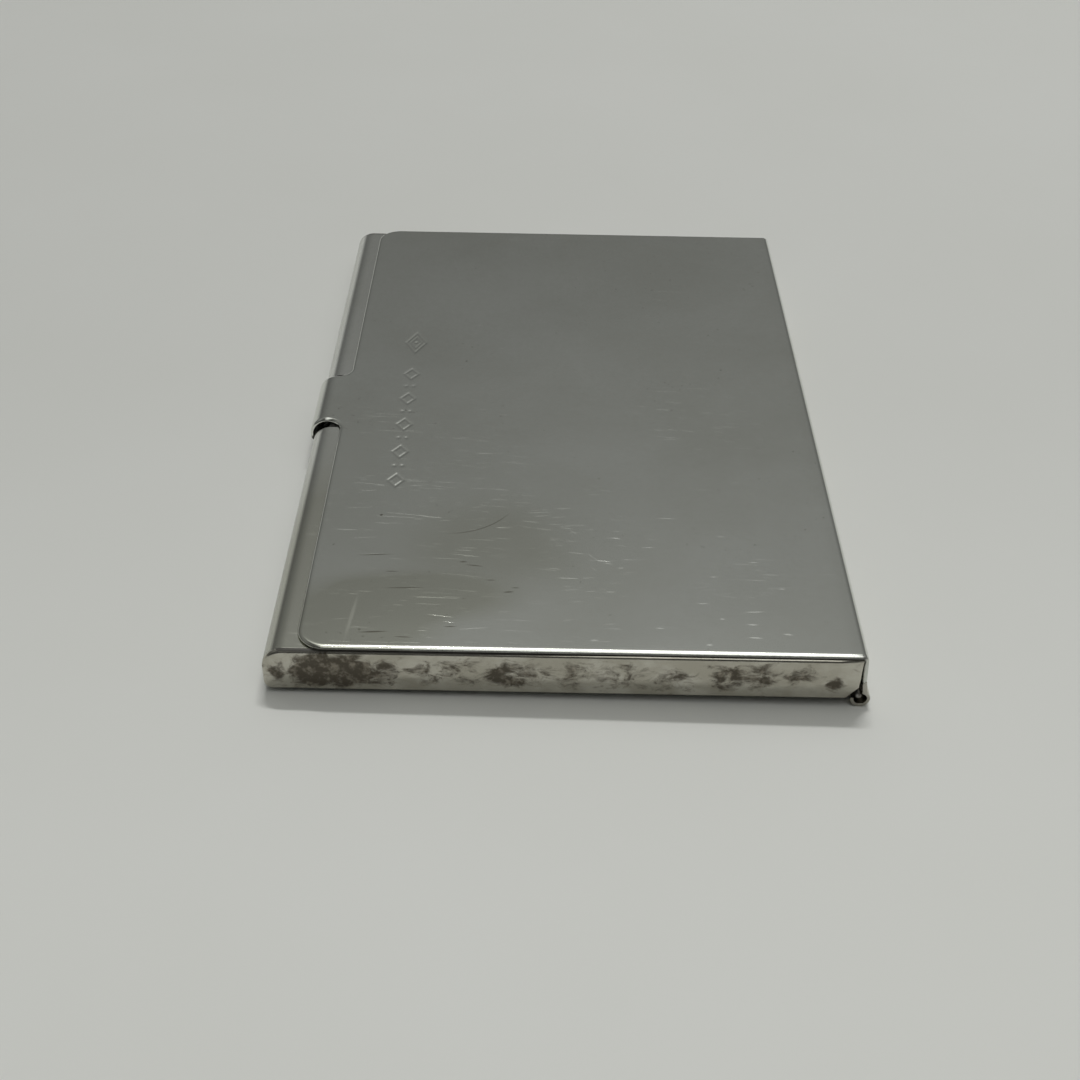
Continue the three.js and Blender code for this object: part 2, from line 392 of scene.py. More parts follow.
def grease(n, place, smudges):
    """A cloudy film with finger smudges in it. A smudge is its centre, half sizes, turn and strength."""
    cloud = n.noise(place, 0.05, detail=5.0, roughness=0.55, distortion=0.3)
    film = n.ramp(cloud, 0.25, 0.80, 0.0, 0.5, smooth=False)
    for centre, size, turn, strength in smudges:
        edge = n.math("MULTIPLY", n.patch(place, centre, size, turn), n.ramp(cloud, 0.10, 0.45))
        film = n.math("ADD", film, n.math("MULTIPLY", edge, strength), clamp=True)
    return film


def specks(n, place, strength):
    """Small dark pits, in a few places only."""
    speck = n.ramp(n.noise(place, 2.2, detail=2.0, roughness=0.4), 0.70, 0.76)
    where = n.ramp(n.noise(place, 0.13, detail=2.0), 0.5, 0.65)
    return n.math("MULTIPLY", n.math("MULTIPLY", speck, where), strength)


def tarnished(n, place, colour, patches):
    """The colour under a dull film and ragged brown patches, and the mask of the patches."""
    streaked = n.mapped(place, scale=(1.0, 0.6, 1.0))
    blotch = n.noise(streaked, 0.8, detail=8.0, roughness=0.66, distortion=0.5)
    field = n.most([n.math("MULTIPLY", n.patch(place, centre, size, core=0.25), strength)
                    for centre, size, strength in patches])
    ragged = n.math("MULTIPLY", n.math("SUBTRACT", blotch, 0.5), 1.9)
    mask = n.ramp(n.math("ADD", ragged, n.math("MULTIPLY", field, 0.62)), 0.10, 0.54)
    dulled = n.ramp(n.noise(streaked, 0.35, detail=5.0, roughness=0.6), 0.34, 0.62, 0.0, 0.70)
    colour = n.blend(dulled, colour, DULLED)
    brown = n.blend(n.ramp(n.noise(place, 1.6, detail=5.0), 0.44, 0.74), DARK_BROWN, PALE_BROWN)
    return n.blend(n.math("MULTIPLY", mask, 0.94), colour, brown), mask


def silver(name, tint, roughness, tarnish=(), smudges=(), marks=None, dirt_and_shade=None, worn_rim=False,
           scratch=0.5, spots=0.0):
    """Worn silver: hairline scratches, finger smudges, specks, brown tarnish, and a given dark mask that is
    soiling on the hinge and painted shade on the lid, base and end plates.
    """
    material, n, shader = surface(name, Metallic=1.0)
    place = millimetres(n)
    coords = coords_of(n, place)

    lines = hairlines(n, place)
    fine = n.noise(place, 1.6, detail=5.0, roughness=0.6)
    film = grease(n, place, smudges)
    greasy = tuple(c * f for c, f in zip(tint, FILM)) + (1,)
    colour = n.blend(n.math("MULTIPLY", film, FILM_COVER), tint, greasy)
    colour = n.blend(n.math("MULTIPLY", n.ramp(fine, 0.35, 0.75), 0.12), colour, HAZE)

    dark = [specks(n, place, spots)] if spots else []
    if marks:
        bright, stained = marks(n, place)
        lines = n.math("MAXIMUM", lines, bright)
        dark.append(stained)
    if dark:
        colour = n.blend(n.most(dark), colour, STAIN)
    rough = n.ramp(film, 0, 1, roughness, roughness + 0.02)
    rough = n.math("ADD", rough, n.math("MULTIPLY", lines, ROUGH_IN_SCRATCHES))

    if tarnish:
        colour, mask = tarnished(n, place, colour, tarnish)
        rough = n.math("ADD", rough, n.math("MULTIPLY", mask, ROUGH_IN_TARNISH))
    # A given dark mask: painted shade on the lid, base and end plates, soiling on the hinge; darker, rougher
    # and less metallic where it is high.
    if dirt_and_shade:
        dirt_and_shade_amount = dirt_and_shade(n, coords)
        colour = n.blend(n.math("MULTIPLY", dirt_and_shade_amount, 0.94), colour, DIRT_AND_SHADE)
        rough = n.math("ADD", rough, n.math("MULTIPLY", dirt_and_shade_amount, ROUGH_IN_DIRT_AND_SHADE))
        n.link(n.math("SUBTRACT", 1.0, dirt_and_shade_amount, clamp=True), shader.inputs["Metallic"])
    n.link(colour, shader.inputs["Base Color"])
    n.link(rough, shader.inputs["Roughness"])

    height = n.math("ADD", n.math("MULTIPLY", lines, -scratch), n.math("MULTIPLY", fine, 0.10))
    height = n.math("ADD", height, n.math("MULTIPLY", n.noise(place, 0.35, detail=3.0), 0.5))
    if worn_rim:
        dents = n.math("MULTIPLY", n.noise(place, 1.1, detail=4.0, roughness=0.6), RIM_DENTS)
        on_rim = n.ramp(coords[0], HALF - 0.5, HALF - 0.3)
        height = n.math("ADD", height, n.math("MULTIPLY", dents, on_rim))
    n.bump(shader, height, 0.22, GRAIN_DEPTH)
    return material


def lid_painted_shade(n, coords):
    """Painted shade: darker under the rim of the lid's short edges, in the gap over the end plates, faintly on
    the spine's ends, and on the faces behind and under the thumb tab.
    """
    along, across, up = coords
    rim_foot = UNDER_Z + LID_TOP - RIM_DROP
    spine = NOSE_Y + SPINE_BACK
    low = n.ramp(up, rim_foot + 0.10, rim_foot + 0.04)
    off_spine = n.ramp(across, spine - 0.45, spine - 0.85, 0.15, 1.0)
    ends = n.math("MULTIPLY", n.math("MULTIPLY", low, off_spine), n.ramp(along, HALF - 0.6, HALF - 0.3))
    inner = n.most([n.ramp(facing(n, "Y"), 0.1, 0.3), n.ramp(facing(n, "Z"), -0.1, -0.3)])
    behind_tab = n.math("MULTIPLY", inner, n.ramp(across, NOSE_Y + 2.6, NOSE_Y + 2.2))
    return n.math("MAXIMUM", ends, behind_tab)


def cap_painted_shade(n, coords):
    """Painted shade on an end plate's lower edge and, reaching lower at the front, along its top where the lid
    rests on it.
    """
    along, across, up = coords
    creep = n.ramp(across, -12, 14, 0.11, 0.0)
    rim_top = UNDER_Z + BASE_HEIGHT
    return n.most([n.ramp(n.math("ADD", up, creep), rim_top - 0.04, rim_top - 0.01),
                   n.ramp(up, UNDER_Z + 0.28, UNDER_Z + 0.18)])


def base_painted_shade(n, coords):
    """Painted shade: dark, dull cut edges at the ends of the thumb notch, a darker, duller nose, and a dark
    underside at the case's two ends.
    """
    along, across, up = coords
    cut = n.ramp(n.math("ABSOLUTE", facing(n, "X")), 0.3, 0.7)
    cut = n.math("MULTIPLY", cut, n.ramp(along, NOTCH_HALF + 1.5, NOTCH_HALF + 1.0))
    nose = n.ramp(facing(n, "Y"), -0.45, -0.85, 0.0, 0.28)
    under = n.ramp(facing(n, "Z"), -0.5, -0.8)
    under = n.math("MULTIPLY", under, n.ramp(along, HALF - 6, HALF - 2, 0.0, 0.6))
    return n.most([cut, nose, under])


def hinge_grime(n, coords):
    """Dull cut ends of the hinge barrel."""
    return n.ramp(n.math("ABSOLUTE", facing(n, "X")), 0.3, 0.8, 0.0, 0.25)


# Marks on the lid: along, back, half length, half width, turn in degrees from straight across the case.
BRIGHT_SCRATCHES = (
    (22.6, 29.9, 1.3, 0.10, 2), (24.1, 41.3, 1.6, 0.12, 0), (29.4, 39.0, 1.0, 0.10, 3),
    (31.6, 50.1, 0.8, 0.14, 0), (39.8, 49.4, 1.5, 0.12, 4), (41.8, 49.0, 0.8, 0.16, 0),
    (43.8, 49.1, 1.0, 0.16, -3), (43.2, 52.4, 0.7, 0.18, -8), (3.6, 22.8, 0.9, 0.10, 0),
    (-18.2, 18.9, 0.9, 0.10, 4), (-19.3, 15.9, 0.9, 0.08, -6), (-12.1, 22.0, 0.5, 0.12, 30),
    (-16.1, 18.6, 0.8, 0.08, 42), (38.6, 44.2, 0.9, 0.10, 2), (42.6, 39.6, 0.7, 0.10, -2),
    (37.0, 34.8, 0.8, 0.08, 3), (34.2, 45.7, 0.6, 0.12, 0), (27.2, 47.0, 0.8, 0.10, -4),
    (44.6, 33.0, 0.6, 0.12, 2), (36.0, 52.6, 0.7, 0.12, 6), (17.0, 49.5, 0.9, 0.08, 8),
    (41.0, 46.0, 0.4, 0.14, 0), (45.0, 44.4, 0.5, 0.14, 3), (33.0, 36.0, 0.5, 0.10, 0),
)
DARK_STREAKS = (
    (43.9, 11.0, 1.8, 0.16, 4), (44.6, 14.0, 1.1, 0.10, -3), (31.4, 10.0, 2.4, 0.10, 4),
    (36.9, 13.5, 2.6, 0.10, 2), (37.3, 24.3, 0.7, 0.16, 6), (36.6, 25.0, 0.5, 0.10, 0),
    (33.0, 20.6, 1.2, 0.10, -8), (32.4, 19.4, 0.5, 0.14, 0), (24.3, 10.0, 0.25, 0.25, 0),
    (35.4, 22.4, 0.7, 0.09, 0), (42.9, 18.6, 0.8, 0.10, 2), (34.2, 12.0, 0.9, 0.09, 0),
)
ARC_CENTRE = (19.6, 17.2)
ARC_RADIUS = 7.9
ARC_MIDDLE = (26.4, 21.2)
RUBBED_LINE = (41.5, 8.6)
DEEP = 3                                 # half height of a mark or patch, past the sheet on both sides


def lid_marks(n, place):
    """Single scratches that shine, and darker streaks with one curved scratch."""
    def strokes(marks):
        return n.most([n.patch(place, in_frame(along, back, LID_TOP), (wide, long, DEEP), turn, core=0.2)
                       for along, back, long, wide, turn in marks])
    ring = n.ring(place, in_frame(*ARC_CENTRE, LID_TOP), ARC_RADIUS, 0.12)
    arc_scratch = n.math("MULTIPLY", ring, n.patch(place, in_frame(*ARC_MIDDLE, LID_TOP), (4.5, 4.5, 6)))
    rubbed = n.patch(place, in_frame(*RUBBED_LINE, LID_TOP), (4.6, 0.30, DEEP), -5, core=0.2)
    bright = n.most([n.math("MULTIPLY", strokes(BRIGHT_SCRATCHES), 0.5), n.math("MULTIPLY", rubbed, 0.25)])
    stained = n.most([n.math("MULTIPLY", strokes(DARK_STREAKS), 0.75), n.math("MULTIPLY", arc_scratch, 0.55)])
    return bright, stained


# Smudges on the lid: along, back, half sizes along and across, turn, strength.
LID_SMUDGES = (
    (42, 9, 9, 13, 12, 0.9), (43, 7.4, 8, 4.0, -4, 1.0), (38, 16, 5, 12, -6, 0.6), (30, 22, 12, 12, 0, 0.4),
)
SMUDGE_DEEP = 6

# Tarnish on the two end plates: back, up, half width, half height, strength.
RIGHT_TARNISH = (
    (5.4, 2.7, 4.0, 3.0, 1.6), (8.4, 2.7, 4.0, 3.0, 1.6), (30.0, 2.5, 33.0, 2.2, 0.46),
    (12.2, 2.6, 2.6, 2.2, 0.8), (1.6, 2.6, 1.4, 1.9, 0.75), (18.6, 3.0, 6.2, 2.0, 0.5),
    (24.4, 2.5, 4.2, 2.4, 0.8), (33.0, 3.0, 7.5, 1.8, 0.42), (40.6, 2.6, 5.0, 2.1, 0.5),
    (47.8, 2.7, 6.5, 2.4, 0.75), (53.2, 2.9, 3.8, 2.0, 0.6), (57.2, 2.2, 1.6, 1.3, 0.75),
)
LEFT_TARNISH = ((20.0, 2.6, 9.0, 1.8, 0.6), (50.0, 2.6, 6.0, 1.8, 0.8))

# The lid, base and end plates get painted shade from their dark masks, the hinge soiling.
LID_SILVER = silver(
    "lid_silver", (0.80, 0.815, 0.775, 1), 0.135, scratch=0.8, spots=0.4, marks=lid_marks, dirt_and_shade=lid_painted_shade,
    worn_rim=True,
    smudges=[(in_frame(along, back, LID_TOP), (half_along, half_across, SMUDGE_DEEP), turn, strength)
             for along, back, half_along, half_across, turn, strength in LID_SMUDGES])
BASE_SILVER = silver(
    "base_silver", (0.92, 0.93, 0.89, 1), 0.14, scratch=0.6, dirt_and_shade=base_painted_shade,
    smudges=[(in_frame(44, 3, BASE_HEIGHT), (40, 6, SMUDGE_DEEP), 0, 1.0)])
CAP_SILVER = silver(
    "cap_silver", (0.60, 0.58, 0.52, 1), 0.17, scratch=0.6, dirt_and_shade=cap_painted_shade, worn_rim=True,
    tarnish=[(in_frame(end, back, up), (DEEP, wide, high), strength)
             for end, patches in ((HALF, RIGHT_TARNISH), (-HALF, LEFT_TARNISH))
             for back, up, wide, high, strength in patches])
HINGE_SILVER = silver(
    "hinge_silver", (0.74, 0.72, 0.66, 1), 0.24, scratch=0.4, dirt_and_shade=hinge_grime,
    tarnish=[(in_frame(0, BARREL_BACK, BARREL_UP), (60, 1.2, 1.6), 0.35)])


def pin_metal():
    """Dull drawn wire."""
    material, n, shader = surface("pin_metal", Metallic=1.0)
    dirt_and_shade = n.noise(millimetres(n), 2.5, detail=5.0, roughness=0.65)
    colour = n.blend(n.ramp(dirt_and_shade, 0.4, 0.7), (0.42, 0.41, 0.39, 1), (0.12, 0.10, 0.08, 1))
    n.link(colour, shader.inputs["Base Color"])
    n.link(n.ramp(dirt_and_shade, 0.3, 0.7, 0.35, 0.6), shader.inputs["Roughness"])
    n.bump(shader, dirt_and_shade, 0.3, GRAIN_DEPTH)
    return material


# ---- Lid ----

def lid_half(back):
    """Half the lid's length at a distance behind the nose: its front corners are round."""
    reach = LID_FRONT + LID_CORNER - back
    if reach <= 0:
        return LID_HALF
    return LID_HALF - LID_CORNER + math.sqrt(max(0.0, LID_CORNER ** 2 - reach ** 2))


ORNAMENT_START = -13.5      # the rosette
ORNAMENT_FIRST = -5.6       # the first lozenge
ORNAMENT_PITCH = 2.9
ORNAMENT_COUNT = 9


def lozenge_groove(x, y, long, wide):
    """How near a point is to a lozenge's outline: 1 on it, 0 away from it."""
    slant = math.hypot(1 / long, 1 / wide)
    away = np.abs(np.abs(x) / long + np.abs(y) / wide - 1) / slant
    return np.exp(-(away / GROOVE) ** 2)


def pit(x, y, radius):
    """A round dimple: 1 in its middle, 0 away from it."""
    return np.exp(-(np.hypot(x, y) / radius) ** 2)


def engraving(along, back):
    """Depth of the row of small engraved ornaments: a rosette, then lozenges and dots in turn."""
    y = back - ENGRAVED_BACK
    x = along - ORNAMENT_START
    depth = lozenge_groove(x, y, 2.5, 1.25)
    depth = np.maximum(depth, 0.8 * lozenge_groove(x, y, 1.4, 0.7))
    depth = np.maximum(depth, pit(x, y, 0.22))
    for k in range(ORNAMENT_COUNT):
        x = along - (ORNAMENT_FIRST + ORNAMENT_PITCH * k)
        if k % 2:
            depth = np.maximum(depth, 0.8 * pit(x, y - 0.45, 0.24))
            depth = np.maximum(depth, 0.8 * pit(x, y + 0.45, 0.24))
        else:
            depth = np.maximum(depth, 0.9 * lozenge_groove(x, y, 1.2, 0.85))
    return depth * ENGRAVED_DEPTH


def plate_height(along, back):
    """Height of the lid's middle surface over its flat plane: a faint dome and ripples."""
    side = LID_HALF - np.abs(along)
    front = back - LID_FRONT
    across = np.clip(front / (SPINE_BACK - LID_FRONT), 0, 1)
    dome = DOME * (1 - (along / LID_HALF) ** 2) * 4 * across * (1 - across)
    waves = np.sin(along / 6.1 + 1.3) * np.sin(back / 8.3 + 0.4) + 0.6 * np.sin(along / 3.7 + back / 5.2)
    fade = np.clip(side / 4, 0, 1) * np.clip(front / 4, 0, 1) * np.clip((SPINE_BACK - back) / 4, 0, 1)
    return dome + RIPPLE * waves * fade


def rim_distance(along, back):
    """Distance from a place on the flattened lid to the outline: sides, round corners, front and tab."""
    x = np.abs(along)
    fillet = TAB_HALF + TAB_FLARE
    past_fillet = max(back - (LID_FRONT - TAB_FLARE), 0)
    front = np.where(x < fillet, np.hypot(fillet - x, past_fillet) - TAB_FLARE, back - LID_FRONT)
    corner = LID_CORNER - np.hypot(x - (LID_HALF - LID_CORNER), LID_FRONT + LID_CORNER - back)
    in_corner = (x > LID_HALF - LID_CORNER) & (back < LID_FRONT + LID_CORNER)
    return np.clip(np.where(in_corner, corner, np.minimum(LID_HALF - x, front)), 0, None)


def quarter(distance, run):
    """0 away from the outline, rising like a quarter ellipse to 1 on it."""
    share = np.clip(1 - distance / run, 0, 1)
    return 1 - np.sqrt(1 - share ** 2)


def lid_columns():
    """The columns of the lid's grid as shares of its half length, and the share where the tab's root ends.

    They stand close together along the rims and under the ornaments.
    """
    plate = LID_HALF - LID_CORNER
    root = TAB_ROOT_HALF / plate
    rim = RIM_RUN * (1 - np.cos(np.linspace(0, math.pi / 2, 9)))
    first, last = ORNAMENT_START - 3.9, ORNAMENT_FIRST + ORNAMENT_PITCH * ORNAMENT_COUNT - 1.1
    fine = np.arange(first, last, 0.12) / LID_HALF
    coarse = np.arange(-1 + 1.4 / LID_HALF, 1 - 1.4 / LID_HALF, 1.0 / LID_HALF)
    coarse = [c for c in coarse if c < fine[0] - 0.01 or c > fine[-1] + 0.01]
    fine = [c for c in fine if abs(abs(c) - root) > 0.0005 and not root - rim[-1] / plate < abs(c) < root]
    edges = [1 - r / LID_HALF for r in list(rim) + [0.6, 0.8, 1.05, 1.4]] + [root - r / plate for r in rim]
    columns = set(fine) | set(coarse) | set(edges) | {-c for c in edges}
    return np.array(sorted(columns)), root


def lid_section():
    """Points (back, up) and outward normals from the spine's foot over the bend to the plate's front edge."""
    bend_back, bend_up = BEND_BACK - BEND_RADIUS, LID_TOP - BEND_RADIUS
    section = [(SPINE_BACK, SPINE_FOOT)]
    section += straight(section[-1], (BEND_BACK, bend_up), 6)
    normals = [(1.0, 0.0)] * len(section)
    section += arc(bend_back, bend_up, BEND_RADIUS, 0, math.pi / 2, 8)[1:]
    normals += arc(0, 0, 1.0, 0, math.pi / 2, 8)[1:]
    section += straight(section[-1], (ENGRAVED_BACK + ENGRAVED_REACH, LID_TOP), 34)
    section += straight(section[-1], (ENGRAVED_BACK - ENGRAVED_REACH, LID_TOP), 34)
    corner = LID_FRONT + LID_CORNER
    section += straight(section[-1], (corner, LID_TOP), 3)
    section += [(corner - LID_CORNER * math.sin(a), LID_TOP) for a in np.linspace(0, math.pi / 2, 17)[1:]]
    normals += [(0.0, 1.0)] * (len(section) - len(normals))
    return section, normals


def tab_section():
    """Points (back, up) of the tab from the plate's front edge over its bend to its tip."""
    section = straight((LID_FRONT, LID_TOP), (TAB_FRONT + TAB_BEND, LID_TOP), 8)
    section += arc(TAB_FRONT + TAB_BEND, LID_TOP - TAB_BEND, TAB_BEND, math.pi / 2, math.pi, 16)[1:]
    drops = TAB_TIP + RIM_RUN * (1 - np.cos(np.linspace(math.pi / 2, 0, 9)))
    section += straight(section[-1], (TAB_FRONT, drops[0]), 2)
    return section + [(TAB_FRONT, up) for up in drops[1:]]


def lid_sheet():
    """Spine, bend, plate and thumb tab as one bent sheet with a worn, rounded rim."""
    columns, root = lid_columns()
    section, normals = lid_section()
    bend_up = LID_TOP - BEND_RADIUS
    upper, lower = [], []

    def add_row(xs, back, up, normal, lift, distance):
        sheet = SPINE_SHEET if up < bend_up and back > REAR_FACE else LID_SHEET
        top = lift - RIM_DROP * quarter(distance, RIM_RUN)
        under = lift - sheet + (sheet - RIM_DROP) * quarter(distance, UNDER_RIM_RUN)
        cut = engraving(xs, back) if up > bend_up else 0 * xs
        upper.extend((x, back + normal[0] * h, up + normal[1] * h) for x, h in zip(xs, top - cut))
        lower.extend((x, back + normal[0] * h, up + normal[1] * h) for x, h in zip(xs, under))

    for (back, up), normal in zip(section, normals):
        xs = columns * lid_half(back)
        lift = plate_height(xs, back) * max(0.0, (up - bend_up) / BEND_RADIUS) ** 2
        add_row(xs, back, up, normal, lift, rim_distance(xs, back))
    faces = grid_faces(len(columns), len(section))

    inside = [k for k, c in enumerate(columns) if abs(c) <= root + 1e-6]
    shares = columns[inside] / root
    previous = [len(upper) - len(columns) + k for k in inside]
    for back, up in tab_section():
        turned = min(max((TAB_FRONT + TAB_BEND - back) / TAB_BEND, 0.0), 1.0)
        normal = (-turned, math.sqrt(1 - turned ** 2)) if up > LID_TOP - TAB_BEND else (-1.0, 0.0)
        reach = max(0.0, TAB_FLARE - (LID_FRONT - back))
        half = TAB_HALF + TAB_FLARE - math.sqrt(max(0.0, TAB_FLARE ** 2 - reach ** 2))
        xs = shares * half
        distance = np.minimum(rim_distance(xs, back), up - TAB_TIP)
        tuck = 0.35 * max(0.0, (TAB_TIP + 1.0 - up)) ** 2
        row = [len(upper) + k for k in range(len(shares))]
        add_row(xs * (half - tuck) / half, back, up, normal, 0.0, distance)
        faces += [(previous[k], previous[k + 1], row[k + 1], row[k]) for k in range(len(row) - 1)]
        previous = row
    count = len(upper)
    foot = [(k, k + 1, count + k + 1, count + k) for k in range(len(columns) - 1)]
    faces += [tuple(count + k for k in reversed(face)) for face in faces] + foot
    return new_piece("lid_sheet", upper + lower, faces, "lid", ["lid_cover", "thumb_tab"], LID_SILVER)


def face_outwards(piece):
    """Turns an open sheet over if its highest faces look down."""
    mesh = piece.data
    top = max(mesh.polygons, key=lambda p: (p.center.z, p.area))
    if top.normal.z < 0:
        mesh.flip_normals()


# ---- Base ----

def base_path():
    """The base's outside from the lip's free edge to the top of the rear wall."""
    path = [(LIP_EDGE, BASE_HEIGHT)]
    path += straight(path[-1], (NOTCH_BACK, BASE_HEIGHT), 3)
    path += straight(path[-1], (NOSE_RADIUS, BASE_HEIGHT), 8)
    path += arc(NOSE_RADIUS, BASE_HEIGHT - NOSE_RADIUS, NOSE_RADIUS, math.pi / 2, math.pi, 18)[1:]
    path += straight(path[-1], (0, TOE_RADIUS), 3)
    path += arc(TOE_RADIUS, TOE_RADIUS, TOE_RADIUS, math.pi, 1.5 * math.pi, 8)[1:]
    path += straight(path[-1], (REAR_FACE - CHAMFER_RUN, 0), 30)
    path += straight(path[-1], (REAR_FACE, CHAMFER_RISE), 3)
    path += straight(path[-1], (REAR_FACE, BASE_HEIGHT), 6)
    return path


def notch_half(back, up):
    """Half the thumb notch's length: wider under the tab's root, with round lower corners."""
    low = NOTCH_FLOOR + NOTCH_CORNER - up
    flare = NOTCH_FLARE * max(0.0, (back - NOSE_RADIUS) / (NOTCH_BACK - NOSE_RADIUS)) ** 2
    if low <= 0:
        return NOTCH_HALF + flare
    return NOTCH_HALF - NOTCH_CORNER + math.sqrt(max(0.0, NOTCH_CORNER ** 2 - low ** 2))


def base_body():
    """The bent base sheet, with the thumb notch left out of its grid."""
    path = base_path()
    end = BASE_HIGH.x
    outer = np.array([0, 0.001, 0.004, 0.01] + list(np.linspace(0, 1, 40)[1:-1]) + [0.99, 0.996, 0.999, 1])
    middle = np.linspace(-1, 1, 20)[1:-1]
    narrow = NOTCH_HALF - NOTCH_CORNER
    points, rows = [], []
    for back, up in path:
        notched = up >= NOTCH_FLOOR and back <= NOTCH_BACK
        half = notch_half(back, up) if notched else (narrow if up < NOTCH_FLOOR else NOTCH_HALF + NOTCH_FLARE)
        xs = list(-end + (end - half) * outer) + list(half * middle) + list(end - (end - half) * outer[::-1])
        rows.append(len(points))
        share = min(max((back - TOE_RADIUS) / (REAR_FACE - CHAMFER_RUN - TOE_RADIUS), 0), 1) if up == 0 else 0
        points += [(x, back, up - BULGE * 4 * share * (1 - share) * (1 - (x / end) ** 2)) for x in xs]
    width = len(xs)
    faces = []
    for r in range(len(path) - 1):
        (back_a, up_a), (back_b, up_b) = path[r], path[r + 1]
        open_row = min(up_a, up_b) >= NOTCH_FLOOR - 1e-6 and max(back_a, back_b) <= NOTCH_BACK + 1e-6
        for c in range(width - 1):
            if open_row and len(outer) - 1 <= c < width - len(outer):
                continue
            a, b = rows[r] + c, rows[r + 1] + c
            faces.append((a, a + 1, b + 1, b))
    piece = new_piece("base_body", points, faces, "base", ["base_shell"], BASE_SILVER)
    drop_loose(piece)
    face_outwards(piece)
    thicken(piece, BASE_SHEET)
    round_edges(piece, SHEET_EDGE)
    return piece


def drop_loose(piece):
    """Removes the points that no face uses."""
    work = bmesh.new()
    work.from_mesh(piece.data)
    bmesh.ops.delete(work, geom=[v for v in work.verts if not v.link_faces], context="VERTS")
    work.to_mesh(piece.data)
    work.free()


def cap_outline(inset):
    """An end plate's outline (back, up), moved inwards."""
    nose, toe = NOSE_RADIUS - inset, TOE_RADIUS - inset
    outline = arc(NOSE_RADIUS, BASE_HEIGHT - NOSE_RADIUS, nose, math.pi / 2, math.pi, 18)
    outline += arc(TOE_RADIUS, TOE_RADIUS, toe, math.pi, 1.5 * math.pi, 8)
    lean = inset * math.tan(CHAMFER_SLOPE / 2)
    climb = inset * math.tan((math.pi / 2 - CHAMFER_SLOPE) / 2)
    outline += straight(outline[-1], (REAR_FACE - CHAMFER_RUN - lean, inset), 24)
    outline += straight(outline[-1], (REAR_FACE - inset, CHAMFER_RISE + climb), 3)
    outline += straight(outline[-1], (REAR_FACE - inset, BASE_HEIGHT - inset), 4)
    outline += straight(outline[-1], (NOSE_RADIUS, BASE_HEIGHT - inset), 24)[:-1]
    return outline


def end_plate(name, node, side):
    """A flat cap whose outer rim is worn round."""
    thickness = CAP_HIGH.x - CAP_LOW.x
    rings = [(HALF - thickness, 0.0)]
    rings += [(HALF - CAP_RIM + CAP_RIM * math.sin(a), CAP_RIM - CAP_RIM * math.cos(a))
              for a in np.linspace(0, math.pi / 2, 7)]
    rings += [(HALF, CAP_RIM + 0.25)]
    points = []
    for x, inset in rings:
        points += [(side * x, back, up) for back, up in cap_outline(inset)]
    n = len(points) // len(rings)
    faces = [tuple(range(n)), tuple(range(len(points) - n, len(points)))] + tube_faces(len(rings), n)
    piece = new_piece(name, points, faces, "base", [node], CAP_SILVER)
    even_normals(piece)
    return piece


# ---- Hinge ----

def curled_knuckle(node):
    """The lid's sheet curled round the pin, from the foot of the spine."""
    low, high = (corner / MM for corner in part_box(node))
    left, right = max(low.x, -LID_HALF), min(high.x, LID_HALF)
    neck = SPINE_FOOT + NECK_RISE
    spine_inside = SPINE_BACK - SPINE_SHEET
    stop = CURL_END - 2 * math.pi
    section = [(SPINE_BACK - 0.05, neck), (SPINE_BACK - 0.01, SPINE_FOOT)]
    section += arc(BARREL_BACK, BARREL_UP, BARREL_RADIUS, CURL_START * 0.85, stop, 40)
    section += arc(BARREL_BACK, BARREL_UP, BARREL_RADIUS - CURL_WALL, stop, CURL_START + 0.35, 40)
    section += [(spine_inside + 0.04, SPINE_FOOT - 0.1), (spine_inside + 0.06, neck)]
    piece = prism("curl_" + node[-1], section, left, right, "lid", [node], HINGE_SILVER)
    round_edges(piece, 0.14)
    return piece


def tube_knuckle(node):
    """A length of tube soldered under the base's chamfer."""
    low, high = (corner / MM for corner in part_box(node))
    tube = arc(BARREL_BACK, BARREL_UP, BARREL_RADIUS, 0, 2 * math.pi, 48)[:-1]
    bore = arc(BARREL_BACK, BARREL_UP, BARREL_RADIUS - CURL_WALL, 0, 2 * math.pi, 48)[:-1]
    piece = prism("tube_" + node[-1], tube, low.x, high.x, "base", [node], HINGE_SILVER, hole=bore)
    round_edges(piece, 0.06)
    return piece


def pin_wire():
    """The hinge wire: its cut ends are drawn down to a nub that stands off the middle of the bore."""
    reach = PIN_HIGH.x
    radius = (PIN_HIGH.z - PIN_LOW.z) / 2
    shoulder = reach - PIN_NUB
    nub = [(-reach, 0.26), (0.05 - reach, 0.31), (-shoulder, 0.33)]
    rod = [(-shoulder, radius - 0.1), (0.1 - shoulder, radius)]
    rings = [(x, r, BARREL_BACK - 0.14, BARREL_UP + 0.16) for x, r in nub]
    rings += [(x, r, BARREL_BACK, BARREL_UP) for x, r in rod]
    rings += [(-x, r, back, up) for x, r, back, up in reversed(rings)]
    steps = 32
    points = []
    for x, r, back, up in rings:
        points += [(x, b, u) for b, u in arc(back, up, r, 0, 2 * math.pi, steps)[:-1]]
    faces = tube_faces(len(rings), steps)
    faces += [tuple(range(steps)), tuple(range(len(points) - steps, len(points)))]
    piece = new_piece("pin_wire", points, faces, "base", ["hinge_pin"], pin_metal())
    even_normals(piece)
    return piece


